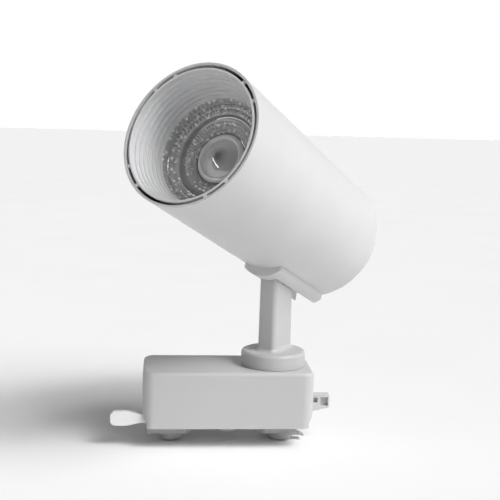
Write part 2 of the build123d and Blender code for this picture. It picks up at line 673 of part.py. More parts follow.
# ---------------------------------------------------------------- moulded lens with a central dome
LENS_REAR = 34.2
LENS_RIM = BAFFLE_REAR - GAP
DOME_R = 9.4
DOME_FOOT = LENS_FRONT - 4.6
DOME_RISE = 3.2
DOME_SPHERE_R = (DOME_R**2 + DOME_RISE**2) / (2 * DOME_RISE)
DOME_CENTRE = DOME_FOOT + DOME_RISE - DOME_SPHERE_R
HALF_SWEEP = math.asin(DOME_R / DOME_SPHERE_R) / 2
with BuildPart() as lens:
    with BuildSketch(head_half_plane()):
        with BuildLine():
            Polyline(
                (0, LED_SEAT + 9.0),
                (6.0, LED_SEAT + 9.0),
                (7.2, LENS_REAR),
                (8.6, LENS_REAR),
                (LENS_R, LENS_FRONT - 4.0),
                (LENS_R, LENS_FRONT - 1.8),
                (LENS_R + 1.6, LENS_FRONT - 1.8),
                (LENS_R + 1.6, LENS_RIM),
                (LENS_R + 0.6, LENS_RIM),
                (LENS_R, LENS_FRONT),
                (18.0, LENS_FRONT - 0.9),
                (15.6, LENS_FRONT - 1.6),
                (10.6, DOME_FOOT),
                (DOME_R, DOME_FOOT),
            )
            ThreePointArc(
                (DOME_R, DOME_FOOT),
                (DOME_SPHERE_R * math.sin(HALF_SWEEP), DOME_CENTRE + DOME_SPHERE_R * math.cos(HALF_SWEEP)),
                (0, DOME_FOOT + DOME_RISE),
            )
            Line((0, DOME_FOOT + DOME_RISE), (0, LED_SEAT + 9.0))
        make_face()
    revolve(axis=Axis(HEAD.origin, HEAD.z_dir))
save(lens.part, "lens")

# ---------------------------------------------------------------- cup that carries the lens
HOLDER_R = TUBE_R - TUBE_WALL - 0.3
HOLDER_FLOOR = LED_SEAT + 4.6
HOLDER_WALL = 1.5
with BuildPart() as lens_holder:
    with BuildSketch(head_half_plane()):
        with BuildLine():
            Polyline(
                (10.5, HOLDER_FLOOR),
                (HOLDER_R, HOLDER_FLOOR),
                (HOLDER_R, LENS_RIM),
                (LENS_R + 1.8, LENS_RIM),
                (LENS_R + 1.8, LENS_FRONT - 1.9),
                (LENS_R + 0.3, LENS_FRONT - 1.9),
                (LENS_R + 0.3, LENS_FRONT - 4.6),
                (12.0, HOLDER_FLOOR + 1.6),
                (10.5, HOLDER_FLOOR + 1.6),
                close=True,
            )
        make_face()
        # the cup is hollow behind its cone, open to the rear
        with BuildLine():
            Polyline(
                (13.1, HOLDER_FLOOR),
                (LENS_R + 1.8, LENS_FRONT - 5.6),
                (HOLDER_R - HOLDER_WALL, LENS_FRONT - 5.6),
                (HOLDER_R - HOLDER_WALL, HOLDER_FLOOR),
                close=True,
            )
        make_face(mode=Mode.SUBTRACT)
    revolve(axis=Axis(HEAD.origin, HEAD.z_dir))
save(lens_holder.part, "lens_holder")

# ---------------------------------------------------------------- light source
MODULE_SIDE = 19.0
PAD_THICK = 0.4
MODULE_THICK = 1.4
with BuildPart() as thermal_pad:
    with BuildSketch(head_plane(LED_SEAT)):
        Rectangle(MODULE_SIDE, MODULE_SIDE)
    extrude(amount=PAD_THICK)
save(thermal_pad.part, "thermal_pad")

with BuildPart() as led_module:
    with BuildSketch(head_plane(LED_SEAT + PAD_THICK)):
        RectangleRounded(MODULE_SIDE, MODULE_SIDE, 0.8)
    extrude(amount=MODULE_THICK)
save(led_module.part, "led_module")

with BuildPart() as led_emitter:
    with BuildSketch(head_plane(LED_SEAT + PAD_THICK + MODULE_THICK)):
        Circle(6.4)
    extrude(amount=0.6)
save(led_emitter.part, "led_emitter")

LED_SCREWS = [(17.0, 0.0), (-17.0, 0.0)]
with BuildPart() as led_holder:
    with BuildSketch(head_plane(LED_SEAT)):
        Circle(21.5)
        Rectangle(MODULE_SIDE + 0.2, MODULE_SIDE + 0.2, mode=Mode.SUBTRACT)
        with Locations(*LED_SCREWS):
            Circle(1.4, mode=Mode.SUBTRACT)
        with Locations((0, -13.2)):
            Rectangle(5.0, 10, align=(Align.CENTER, Align.MAX), mode=Mode.SUBTRACT)
    extrude(amount=4.0)
    with BuildSketch(head_plane(LED_SEAT + 2.6)):
        Circle(12.5)
        Circle(8.6, mode=Mode.SUBTRACT)
    extrude(amount=1.4)
save(led_holder.part, "led_holder")

with BuildPart() as led_screws:
    for place in LED_SCREWS:
        with BuildSketch(head_plane(LED_SEAT - 6)):
            with Locations(place):
                Circle(1.2)
        extrude(amount=10)
save(led_screws.part, "led_screws")

# ---------------------------------------------------------------- heat sink with straight fins
SINK_R = 26.4
SINK_BASE = 8.0
FIN_PITCH = 5.2
FIN_THICK = 1.4
FIN_REAR = -38.0
PILLARS = [(15.6, 12.0), (-15.6, 12.0)]
PILLAR_R = 3.0
CAP_THICK = 2.2
CAP_FRONT = REAR + CAP_THICK + 0.3
with BuildPart() as heat_sink:
    with BuildSketch(head_plane(LED_SEAT - SINK_BASE)):
        Circle(TUBE_R - TUBE_WALL - 0.3)
    extrude(amount=SINK_BASE)
    with BuildSketch(head_plane(FIN_REAR)):
        with GridLocations(FIN_PITCH, 1, 10, 1):
            Rectangle(FIN_THICK, 2 * TUBE_R)
        Circle(SINK_R, mode=Mode.INTERSECT)
    extrude(amount=LED_SEAT - SINK_BASE - FIN_REAR)
    with BuildSketch(head_plane(CAP_FRONT)):
        with Locations(*PILLARS):
            Circle(PILLAR_R)
    extrude(amount=LED_SEAT - SINK_BASE - CAP_FRONT)
    with BuildSketch(head_plane(FIN_REAR - 1)):
        with Locations((0, SLOT_TOP + 0.2)):
            Rectangle(2 * SLOT_HALF + 1.2, 20, align=(Align.CENTER, Align.MAX))
    extrude(amount=SLOT_FRONT - FIN_REAR + 1.4, mode=Mode.SUBTRACT)
    with BuildSketch(head_plane(LED_SEAT - SINK_BASE - 1)):
        with Locations((0, HEAD_LEAD_V)):
            Circle(LEAD_R + 1.3)
    extrude(amount=SINK_BASE + 2, mode=Mode.SUBTRACT)
    with BuildSketch(head_plane(LED_SEAT - 6)):
        with Locations(*LED_SCREWS):
            Circle(1.2)
    extrude(amount=7, mode=Mode.SUBTRACT)
    with BuildSketch(head_plane(CAP_FRONT - 1)):
        with Locations(*PILLARS):
            Circle(1.1)
    extrude(amount=9, mode=Mode.SUBTRACT)
save(heat_sink.part, "heat_sink")

# ---------------------------------------------------------------- vented rear cap and its screws
VENT_LONG = 27.0
with BuildPart() as rear_cap:
    with BuildSketch(head_plane(REAR + 0.2)):
        Circle(TUBE_R - TUBE_WALL - GAP)
        with Locations((0, SLOT_TOP + 0.2)):
            Rectangle(2 * SLOT_HALF + 1.2, 20, align=(Align.CENTER, Align.MAX), mode=Mode.SUBTRACT)
        with GridLocations(FIN_PITCH, 1, 5, 1):
            SlotOverall(VENT_LONG, 2.2, rotation=90, mode=Mode.SUBTRACT)
        with Locations(*PILLARS):
            Circle(1.35, mode=Mode.SUBTRACT)
    extrude(amount=CAP_THICK)
save(rear_cap.part, "rear_cap")

with BuildPart() as rear_cap_screws:
    for place in PILLARS:
        with BuildSketch(head_plane(REAR + 0.2)):
            with Locations(place):
                Circle(2.3)
        extrude(amount=-1.3)
        with BuildSketch(head_plane(REAR + 0.2)):
            with Locations(place):
                Circle(1.1)
        extrude(amount=9)
    with BuildSketch(head_plane(REAR - 1.2)):
        with Locations(*PILLARS):
            RegularPolygon(1.2, 6)
    extrude(amount=0.8, mode=Mode.SUBTRACT)
save(rear_cap_screws.part, "rear_cap_screws")
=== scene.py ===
"""Looks of the track spotlight: materials, faceted lens, stepped baffle, floor, light and camera.

Metres, in the part's own frame: origin at the centre of the adapter's rim, X along the track, Z up.
"""
import json
import math

import bmesh
import bpy
from mathutils import Matrix, Vector


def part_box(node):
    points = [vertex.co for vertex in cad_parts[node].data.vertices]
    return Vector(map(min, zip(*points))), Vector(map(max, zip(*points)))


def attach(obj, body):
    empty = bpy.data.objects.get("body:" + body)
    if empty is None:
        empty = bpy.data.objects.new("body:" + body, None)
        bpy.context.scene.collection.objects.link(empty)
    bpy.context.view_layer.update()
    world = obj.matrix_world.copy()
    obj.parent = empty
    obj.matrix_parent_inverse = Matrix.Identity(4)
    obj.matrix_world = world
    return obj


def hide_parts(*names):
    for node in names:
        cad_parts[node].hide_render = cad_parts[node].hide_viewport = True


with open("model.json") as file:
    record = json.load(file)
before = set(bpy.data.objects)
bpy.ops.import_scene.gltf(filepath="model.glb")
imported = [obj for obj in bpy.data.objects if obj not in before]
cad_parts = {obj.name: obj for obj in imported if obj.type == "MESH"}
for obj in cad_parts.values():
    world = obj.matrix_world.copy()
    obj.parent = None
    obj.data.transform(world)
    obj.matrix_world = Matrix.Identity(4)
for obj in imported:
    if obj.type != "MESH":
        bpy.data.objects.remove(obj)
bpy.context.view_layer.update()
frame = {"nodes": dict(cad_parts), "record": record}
MM = 0.001
nodes = frame["nodes"]


# ---------------------------------------------------------------- places taken from the frame
def node_centre(name):
    low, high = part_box(name)
    return (low + high) / 2


joints = {joint["name"]: joint for joint in frame["record"]["behaviour"]["joints"]}
TILT_AXIS = Vector(joints["lamp_tilt"]["axis"]).normalized()
EMITTER = node_centre("led_emitter")
LAMP_SIDE = -TILT_AXIS


def lamp_axis():
    """Unit vector from the light source to the mouth, through the middles of two round nodes."""
    toward = node_centre("lens_holder") - EMITTER
    toward -= toward.dot(LAMP_SIDE) * LAMP_SIDE
    return toward.normalized()


TO_MOUTH = lamp_axis()
LAMP_UP = TO_MOUTH.cross(LAMP_SIDE).normalized()


# ---------------------------------------------------------------- node helpers
class Shader:
    """Builds one node material on its Principled BSDF, with short calls that add and link nodes."""

    def __init__(self, name):
        self.material = bpy.data.materials.new(name)
        self.material.use_nodes = True
        self.tree = self.material.node_tree
        self.bsdf = self.tree.nodes["Principled BSDF"]

    def add(self, kind, inputs=None, **settings):
        node = self.tree.nodes.new(kind)
        for key, value in settings.items():
            setattr(node, key, value)
        for key, value in (inputs or {}).items():
            self.feed(node.inputs[key], value)
        return node

    def feed(self, socket, value):
        if isinstance(value, bpy.types.NodeSocket):
            self.tree.links.new(value, socket)
        else:
            socket.default_value = value

    def set(self, **inputs):
        for key, value in inputs.items():
            self.feed(self.bsdf.inputs[key.replace("_", " ")], value)

    def place(self):
        return self.add("ShaderNodeTexCoord").outputs["Object"]

    def noise(self, scale, detail=4.0, roughness=0.55, vector=None):
        inputs = {"Scale": scale, "Detail": detail, "Roughness": roughness}
        inputs["Vector"] = vector or self.place()
        return self.add("ShaderNodeTexNoise", inputs).outputs["Fac"]

    def cells(self, scale):
        """Distance from the middle of the nearest Voronoi cell."""
        inputs = {"Scale": scale, "Vector": self.place()}
        return self.add("ShaderNodeTexVoronoi", inputs).outputs["Distance"]

    def ramp(self, value, *stops):
        node = self.add("ShaderNodeValToRGB", {"Fac": value})
        elements = node.color_ramp.elements
        while len(elements) < len(stops):
            elements.new(0.5)
        for element, (position, colour) in zip(elements, stops):
            element.position = position
            element.color = (*colour, 1)
        return node.outputs["Color"]

    def span(self, value, low, high):
        """Maps 0..1 to low..high."""
        inputs = {"Value": value, "To Min": low, "To Max": high}
        return self.add("ShaderNodeMapRange", inputs).outputs["Result"]

    def maths(self, operation, first, second):
        return self.add("ShaderNodeMath", {0: first, 1: second}, operation=operation).outputs[0]

    def bump(self, height, strength, distance, under=None):
        inputs = {"Height": height, "Strength": strength, "Distance": distance}
        if under is not None:
            inputs["Normal"] = under
        return self.add("ShaderNodeBump", inputs).outputs["Normal"]

    def worn_edges(self, plain, worn, reach=0.0006):
        """Mixes in a second colour along convex edges, broken up by noise."""
        bevel = self.add("ShaderNodeBevel", {"Radius": reach}, samples=4)
        normal = self.add("ShaderNodeNewGeometry").outputs["Normal"]
        inputs = {0: bevel.outputs["Normal"], 1: normal}
        turn = self.add("ShaderNodeVectorMath", inputs, operation="DOT_PRODUCT").outputs["Value"]
        inputs = {"Value": turn, "From Min": 0.97, "From Max": 0.80}
        edge = self.add("ShaderNodeMapRange", inputs).outputs["Result"]
        patchy = self.maths("MULTIPLY", edge, self.noise(900.0, 3.0))
        return self.mix(patchy, plain, worn)

    def mix(self, factor, first, second, blend="MIX"):
        settings = {"data_type": "RGBA", "blend_type": blend}
        return self.add("ShaderNodeMix", {0: factor, 6: first, 7: second}, **settings).outputs[2]

    def stretched(self, scale):
        """The object's own coordinates, scaled along each axis."""
        return self.add("ShaderNodeMapping", {"Vector": self.place(), "Scale": scale}).outputs["Vector"]

    def bricks(self, scale, mortar, first, second, joint):
        """A brick pattern: its relative mortar width, two brick colours and the mortar's colour."""
        inputs = {"Vector": self.place(), "Scale": scale, "Mortar Size": mortar}
        inputs.update({"Color1": first, "Color2": second, "Mortar": joint})
        return self.add("ShaderNodeTexBrick", inputs).outputs["Color"]


def rgb(red, green, blue):
    return (red, green, blue, 1.0)


def grey(level):
    return (level, level, level)


def scaled(colour, factor):
    """A colour made lighter or darker, as a plain (red, green, blue)."""
    return tuple(channel * factor for channel in colour)


# ---------------------------------------------------------------- materials
def powder_coat(name, colour, peel=1.0):
    """Powder coat: slight orange peel, a fine grain on top, faint variation of tone and gloss."""
    s = Shader(name)
    tone = s.ramp(s.noise(38.0, 5.0), (0.32, scaled(colour, 0.965)), (0.68, colour))
    speck = s.ramp(s.cells(2600.0), (0.03, scaled(colour, 0.93)), (0.09, grey(1.0)))
    s.set(Base_Color=s.mix(1.0, tone, speck, "MULTIPLY"), Roughness=s.span(s.noise(420.0, 3.0), 0.36, 0.47))
    grain = s.bump(s.noise(5200.0, 2.0, 0.6), 0.10 * peel, 0.00004)
    s.set(Normal=s.bump(s.noise(1150.0, 2.0, 0.45), 0.16 * peel, 0.0001, grain))
    return s.material


def moulded(name, colour, roughness, texture):
    """Injection-moulded plastic: spark-eroded texture, flow streaks, slightly burnished edges."""
    s = Shader(name)
    streaks = s.noise(60.0, 6.0, 0.6, s.stretched((0.25, 1.0, 1.0)))
    flow = s.ramp(streaks, (0.3, scaled(colour, 0.97)), (0.7, colour))
    burnished = rgb(*(channel * 1.05 + 0.0075 for channel in colour))
    gloss = s.span(s.noise(700.0, 4.0), roughness - 0.05, roughness + 0.06)
    s.set(Base_Color=s.worn_edges(flow, burnished), Roughness=gloss, Specular_IOR_Level=0.45)
    s.set(Normal=s.bump(s.noise(3600.0, 4.0, 0.65), texture, 0.00005))
    return s.material


def metal(name, colour, roughness=0.28, turned=True):
    """Bare or plated metal with fine turning or drawing lines and a little tarnish."""
    s = Shader(name)
    lines = s.stretched((1.0, 1.0, 40.0) if turned else (60.0, 60.0, 1.0))
    streak = s.noise(900.0, 4.0, 0.6, lines)
    patch = s.ramp(s.noise(260.0, 5.0), (0.35, scaled(colour, 0.8)), (0.62, colour))
    s.set(Base_Color=patch, Metallic=1.0, Roughness=s.span(streak, roughness - 0.08, roughness + 0.12))
    s.set(Normal=s.bump(streak, 0.14, 0.00002))
    return s.material


def circuit_board(name, mask):
    """Solder mask over tracks: tinted lines show through as slightly raised copper."""
    s = Shader(name)
    tracks = s.bricks(420.0, 0.05, rgb(1.0, 1.0, 1.0), rgb(0.7, 0.7, 0.7), rgb(0.0, 0.0, 0.0))
    s.set(Base_Color=s.mix(tracks, rgb(*mask), rgb(*scaled(mask, 0.72))), Roughness=0.34)
    s.set(Normal=s.bump(tracks, 0.25, 0.00003))
    return s.material


def acrylic_skin(s, tone, transmission, roughness=0.06):
    """Polished skin of a moulded acrylic optic over a grey tone."""
    s.set(Base_Color=tone, Transmission_Weight=transmission, IOR=1.49)
    s.set(Coat_Weight=1.0, Coat_Roughness=0.02, Coat_IOR=2.3)
    s.set(Roughness=s.span(s.noise(260.0, 3.0), roughness, roughness + 0.08))
    return s.material


def clear_acrylic(name, low, high, transmission, roughness=0.06):
    """Clear optic with a cloudy tone between two greys."""
    s = Shader(name)
    cloud = s.ramp(s.noise(150.0, 4.0), (0.3, grey(low)), (0.7, grey(high)))
    return acrylic_skin(s, cloud, transmission, roughness)


def glinting_acrylic(name, dull, bright, transmission):
    """Clear optic with painted glints: pale specks about a millimetre across in its base colour, standing
    in for small facets catching the light.
    """
    s = Shader(name)
    painted_glints = s.ramp(s.cells(460.0), (0.16, grey(bright)), (0.40, grey(dull)))
    return acrylic_skin(s, painted_glints, transmission)


def painted_shade_acrylic(name, pole, reach_out):
    """Clear dome with painted shade: dark at its pole, standing in for the unlit light source seen through
    it, and painted lighter outwards.
    """
    s = Shader(name)
    away = s.add("ShaderNodeVectorMath", {0: s.place(), 1: pole}, operation="DISTANCE").outputs["Value"]
    unevenness = s.span(s.noise(170.0, 3.0), -0.16, 0.16)
    share = s.maths("ADD", s.maths("DIVIDE", away, reach_out), unevenness)
    return acrylic_skin(s, s.ramp(share, (0.12, grey(0.34)), (0.55, grey(0.92))), 0.3)


def frosted(name, colour):
    """Pale translucent moulding, such as polypropylene."""
    s = Shader(name)
    tone = s.ramp(s.noise(120.0, 4.0), (0.3, scaled(colour, 0.96)), (0.7, colour))
    s.set(Base_Color=tone, Roughness=0.5)
    s.set(Subsurface_Weight=0.35, Subsurface_Scale=0.002, Subsurface_Radius=(1.0, 1.0, 1.0))
    s.set(Normal=s.bump(s.noise(3000.0, 3.0), 0.10, 0.00005))
    return s.material


def phosphor(name):
    """Yellow phosphor gel over the LED chips, unlit, with a faint grid of chips beneath."""
    s = Shader(name)
    chips = s.bricks(700.0, 0.03, rgb(0.86, 0.66, 0.14), rgb(0.80, 0.60, 0.11), rgb(0.70, 0.52, 0.10))
    s.set(Base_Color=chips, Roughness=0.28, Subsurface_Weight=0.2, Subsurface_Scale=0.001)
    s.set(Normal=s.bump(s.noise(400.0, 2.0), 0.08, 0.0001))
    return s.material


WHITE = (0.60, 0.60, 0.608)
finishes = {
    "painted_aluminium": powder_coat("powder_coat_tube", WHITE),
    "painted_casting": powder_coat("powder_coat_casting", (0.475, 0.475, 0.481), 1.5),
    "white_plastic": moulded("white_polycarbonate", (0.52, 0.52, 0.527), 0.44, 0.10),
    "baffle_plastic": moulded("matt_white_baffle", (0.63, 0.63, 0.638), 0.52, 0.08),
    "grey_plastic": moulded("grey_nylon", (0.42, 0.42, 0.43), 0.5, 0.16),
    "lever_plastic": moulded("lever_moulding", (0.58, 0.58, 0.59), 0.42, 0.10),
    "frosted_plastic": frosted("pale_frosted_moulding", (0.84, 0.84, 0.845)),
    "black_plastic": moulded("black_nylon", (0.03, 0.03, 0.033), 0.46, 0.18),
    "can_sleeve": moulded("capacitor_sleeve", (0.035, 0.045, 0.12), 0.25, 0.05),
    "chip_plastic": moulded("chip_epoxy", (0.03, 0.03, 0.034), 0.55, 0.2),
    "ferrite": moulded("ferrite_and_tape", (0.07, 0.07, 0.075), 0.6, 0.3),
    "cable_sheath": moulded("white_pvc_sheath", (0.74, 0.74, 0.72), 0.35, 0.05),
    "pad_silicone": moulded("grey_silicone", (0.33, 0.36, 0.40), 0.6, 0.1),
    "steel": metal("zinc_plated_steel", (0.60, 0.61, 0.63)),
    "brass": metal("tinned_spring_brass", (0.46, 0.44, 0.40), 0.26),
    "raw_aluminium": metal("extruded_aluminium", (0.66, 0.67, 0.68), 0.4, turned=False),
    "circuit_board": circuit_board("green_board", (0.03, 0.16, 0.08)),
    "circuit_board_white": circuit_board("white_board", (0.80, 0.80, 0.78)),
    "clear_lens": clear_acrylic("clear_acrylic", 0.50, 0.66, 0.5),
    "phosphor": phosphor("led_phosphor"),
}
# The faceted rows carry painted glints in their base colour.
faceted_acrylic_painted_glints = glinting_acrylic("faceted_acrylic_painted_glints", 0.45, 1.0, 0.2)
# Rougher acrylic for the ring round the dome; its pale base colour is painted light, where refraction
# brightens the ring.
painted_light_acrylic = clear_acrylic("painted_light_acrylic", 0.88, 0.97, 0.1, 0.3)
for row in frame["record"]["subparts"]:
    mesh = nodes[row["node"]].data
    mesh.materials.clear()
    mesh.materials.append(finishes[row["material_slot"]])
nodes["saddle"].data.materials[0] = finishes["painted_aluminium"]     # the same paint as the tube, lighter than the casting's: partly painted light that brightens the saddle


# ---------------------------------------------------------------- turned pieces inside the lamp
def reach(name):
    """How far a node reaches towards the mouth from the light source, in metres."""
    return max((corner.co - EMITTER).dot(TO_MOUTH) for corner in nodes[name].data.vertices)


RIM = reach("lens")
SHARP_ANGLE = math.radians(28)      # edges sharper than this stay creased


def lamp_point(radius, depth, angle):
    """A point in the lamp: mm from its axis and mm behind the lens's rim, at an angle round it."""
    outwards = LAMP_SIDE * math.cos(angle) + LAMP_UP * math.sin(angle)
    return EMITTER + outwards * radius * MM + TO_MOUTH * (RIM - depth * MM)


def finish_piece(bm, name, node, slot, *materials):
    """Turns the mesh into a smooth-shaded piece on the lamp that replaces a CAD node."""
    bmesh.ops.recalc_face_normals(bm, faces=bm.faces)
    mesh = bpy.data.meshes.new(name)
    bm.to_mesh(mesh)
    bm.free()
    mesh.polygons.foreach_set("use_smooth", [True] * len(mesh.polygons))
    mesh.set_sharp_from_angle(angle=SHARP_ANGLE)
    piece = bpy.data.objects.new(name, mesh)
    bpy.context.collection.objects.link(piece)
    for material in materials:
        mesh.materials.append(material)
    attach(piece, "lamp")
    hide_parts(node)


# ---------------------------------------------------------------- lens with its rings of facets
# Outline points are (radius, depth) in mm, depth being how far a point lies behind the lens's rim.
FACETS = 72                 # facets round each ring
STEPS_PER_FACET = 6
CLEAR, FACETED, PAINTED_LIGHT, DOME = 0, 1, 2, 3
POCKET_DEPTH = 21.3         # middle of the rear recess over the light source
POCKET = ((3.0, 21.5), (6.0, 22.2), (7.2, 24.6), (8.6, 24.6))
CONE_RINGS = 8              # rings of points along the curved cone behind the rim
CONE_OUT = 13.8             # how far the cone spreads outwards
CONE_FORWARD = 17.6         # how far it comes forward
CONE_CURVE = 1.3            # exponent of its curve
RIM_EDGE = ((22.4, 4.8), (24.0, 4.8), (24.0, 0.1), (23.9, 0.0), (23.5, 0.0), (23.4, 0.1))
# Rows of facets: outer point, inner point, height in mm, stagger in facets
OUTER_ROWS = (
    ((23.3, 0.2), (22.3, 2.95), 0.35, 0.5),
    ((22.2, 3.05), (20.2, 3.5), 0.6, 0.0),
    ((20.1, 3.5), (18.2, 3.9), 0.6, 0.5),
)
SMOOTH_BAND = ((18.0, 4.15), (17.2, 4.2), (16.4, 4.4), (15.7, 4.7))
INNER_ROWS = (
    ((15.4, 4.95), (14.1, 5.7), 0.45, 0.0),
    ((14.0, 5.8), (12.7, 6.6), 0.45, 0.0),
    ((12.6, 6.7), (11.3, 7.4), 0.45, 0.0),
)
GROOVE = ((11.1, 7.65), (10.8, 7.7))
# The ring round the dome is painted pale: painted light where refraction brightens it.
PAINTED_LIGHT_RING = ((10.6, 7.2), (10.2, 6.65), (9.7, 6.3), (9.1, 6.2), (8.6, 6.4))
DOME_R = 8.4
DOME_EDGE = 6.89            # depth of the dome's edge
DOME_HIGH = 2.49
DOME_PEAK = 4.4             # depth of its middle
DOME_RINGS = 10
DOME_SHADE_R = 8.5          # radius over which the dome's painted shade turns to painted light


def facet_row(outer, inner, height, stagger, angle):
    """One row of rounded facets between two outline points."""
    crown = abs(math.sin(FACETS * angle / 2 + stagger * math.pi)) ** 0.7
    across, down = inner[0] - outer[0], inner[1] - outer[1]
    slope = math.hypot(across, down)
    row = []
    for share in (0.0, 0.2, 0.5, 0.8, 1.0):
        swell = height * crown * math.sin(math.pi * share) ** 0.6
        radius = outer[0] + across * share - down / slope * swell
        depth = outer[1] + down * share + across / slope * swell
        row.append((radius, depth, FACETED))
    return row


def plain(look, places):
    """Outline points without facets, all with one look."""
    return [(radius, depth, look) for radius, depth in places]


def cone_point(share):
    rear_r, rear_depth = POCKET[-1]
    return rear_r + CONE_OUT * share, rear_depth - CONE_FORWARD * share**CONE_CURVE


def dome_point(share):
    return DOME_R * share, DOME_EDGE - DOME_HIGH * (1 - share**2)


def lens_outline(angle):
    """The lens's (radius, depth, look) outline at one angle, from the rear pocket round to the dome."""
    points = plain(CLEAR, POCKET)
    points += plain(CLEAR, [cone_point(ring / CONE_RINGS) for ring in range(1, CONE_RINGS + 1)])
    points += plain(CLEAR, RIM_EDGE)
    for row in OUTER_ROWS:
        points += facet_row(*row, angle)
    points += plain(CLEAR, SMOOTH_BAND)
    for row in INNER_ROWS:
        points += facet_row(*row, angle)
    points += plain(CLEAR, GROOVE) + plain(PAINTED_LIGHT, PAINTED_LIGHT_RING)
    return points + plain(DOME, [dome_point(1 - ring / DOME_RINGS) for ring in range(DOME_RINGS)])


def make_lens():
    """One closed turned solid between two poles; the facets bend its outline from angle to angle."""
    bm = bmesh.new()
    back = bm.verts.new(lamp_point(0.0, POCKET_DEPTH, 0.0))
    front = bm.verts.new(lamp_point(0.0, DOME_PEAK, 0.0))
    columns = []
    for step in range(FACETS * STEPS_PER_FACET):
        angle = math.tau * step / (FACETS * STEPS_PER_FACET)
        outline = lens_outline(angle)
        columns.append([bm.verts.new(lamp_point(radius, depth, angle)) for radius, depth, _ in outline])
    for here, there in zip(columns, columns[1:] + columns[:1]):
        bm.faces.new((back, there[0], here[0]))
        for i in range(len(here) - 1):
            face = bm.faces.new((here[i], there[i], there[i + 1], here[i + 1]))
            face.material_index = outline[i][2]
        bm.faces.new((here[-1], there[-1], front)).material_index = DOME
    # The dome's painted shade: dark at its middle, painted lighter outwards.
    dome_painted_shade = painted_shade_acrylic("painted_shade_acrylic", lamp_point(0.0, DOME_PEAK, 0.0), DOME_SHADE_R * MM)
    looks = (finishes["clear_lens"], faceted_acrylic_painted_glints, painted_light_acrylic, dome_painted_shade)
    finish_piece(bm, "lens_optic", "lens", "clear_lens", *looks)


make_lens()

# ---------------------------------------------------------------- stepped baffle with its eight bridges
BAFFLE_FRONT = (RIM - reach("baffle")) / MM     # negative: the baffle stands in front of the rim
BAFFLE_TURNS = 288          # outlines round the baffle
BAFFLE_R = 27.9             # outside
BAFFLE_STEPS = 7
STEP_LONG = 2.17            # spacing of the ledges
STEP_IN = 0.586             # how much narrower the baffle gets at each ledge
MOUTH_R = 27.0              # first wall
BAFFLE_LAND = 0.85          # front edge to the start of the first step
UNDERCUT = 0.26             # how much wider each step gets towards its ledge
OUTER_CHAMFER, INNER_CHAMFER = 0.15, 0.2        # at the baffle's front edge
BAFFLE_BACK = -0.1
FLANGE = ((BAFFLE_R, BAFFLE_BACK), (BAFFLE_R, -1.3), (24.6, -1.3))
TAPER_LONG = 4.0            # front edge to where the outside starts to narrow
BRIDGES = [90 + pair + spread for pair in (40, 130, 220, 310) for spread in (-10, 10)]     # degrees
BRIDGE_HALF = 0.75          # half of a bridge's width
BRIDGE_INNER_R, BRIDGE_OUTER_R = 27.4, 29.0
BRIDGE_FRONT, BRIDGE_BACK = 0.15, 1.4           # behind the baffle's front edge
BRIDGE_EDGE = 0.12          # rounding of its edges


def baffle_outline():
    """The baffle's closed (radius, depth) outline in mm: front edge, undercut steps, flange, outside."""
    points = [(BAFFLE_R - OUTER_CHAMFER, BAFFLE_FRONT), (MOUTH_R + INNER_CHAMFER, BAFFLE_FRONT)]
    points.append((MOUTH_R, BAFFLE_FRONT + INNER_CHAMFER))
    for step in range(1, BAFFLE_STEPS + 1):
        wall = MOUTH_R - (step - 1) * STEP_IN
        ledge = BAFFLE_FRONT + BAFFLE_LAND + step * STEP_LONG
        points += [(wall + 0.05, ledge - 1.7), (wall + UNDERCUT, ledge - 0.35), (wall + 0.2, ledge - 0.08)]
        points += [(wall + 0.05, ledge), (wall - STEP_IN + 0.12, ledge), (wall - STEP_IN, ledge + 0.12)]
    points += [(MOUTH_R - BAFFLE_STEPS * STEP_IN, BAFFLE_BACK), *FLANGE]
    return points + [(BAFFLE_R, BAFFLE_FRONT + TAPER_LONG), (BAFFLE_R, BAFFLE_FRONT + OUTER_CHAMFER)]


def add_bridge(bm, degrees):
    """A small block with rounded edges from the baffle's edge to the tube's lip."""
    angle = math.radians(degrees)
    sideways = LAMP_UP * math.cos(angle) - LAMP_SIDE * math.sin(angle)
    inner, outer = BRIDGE_INNER_R, BRIDGE_OUTER_R
    corners = []
    for depth in (BAFFLE_FRONT + BRIDGE_FRONT, BAFFLE_FRONT + BRIDGE_BACK):
        for radius, way in ((inner, -1), (outer, -1), (outer, 1), (inner, 1)):
            corner = lamp_point(radius, depth, angle) + sideways * way * BRIDGE_HALF * MM
            corners.append(bm.verts.new(corner))
    sides = [(0, 1, 2, 3), (7, 6, 5, 4), (0, 4, 5, 1), (1, 5, 6, 2), (2, 6, 7, 3), (3, 7, 4, 0)]
    block = [bm.faces.new([corners[i] for i in side]) for side in sides]
    edges = {edge for face in block for edge in face.edges}
    bmesh.ops.bevel(bm, geom=list(edges), offset=BRIDGE_EDGE * MM, segments=2, affect="EDGES")


def make_baffle():
    """The baffle as a turned ring, with its bridges as separate closed blocks in the same mesh."""
    bm = bmesh.new()
    outline = baffle_outline()
    columns = []
    for step in range(BAFFLE_TURNS):
        angle = math.tau * step / BAFFLE_TURNS
        columns.append([bm.verts.new(lamp_point(radius, depth, angle)) for radius, depth in outline])
    for here, there in zip(columns, columns[1:] + columns[:1]):
        for i in range(len(here)):
            bm.faces.new((here[i - 1], there[i - 1], there[i], here[i]))
    for degrees in BRIDGES:
        add_bridge(bm, degrees)
    finish_piece(bm, "stepped_baffle", "baffle", "baffle_plastic", finishes["baffle_plastic"])


make_baffle()

# ---------------------------------------------------------------- floor, light and camera
FLOOR_Z = min(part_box(name)[0].z for name in ("lock_head", "contact_head"))
FLOOR_HALF = 40.0           # metres
FLOOR_GAP = 0.0002          # between the floor and the two heads it carries
KEY_FROM = (0.55, -0.42, 0.72)                   # right, front and above
STRIP_OFFSET = Vector((-0.92, -0.25, 0.31))      # a narrow panel to the left, reflected in the dome
STRIP_ALONG = (0.1, -0.64, -0.39)
DIM_SIDE = (-0.75, -0.66, 0.0)                   # the studio walls are darker here, front left


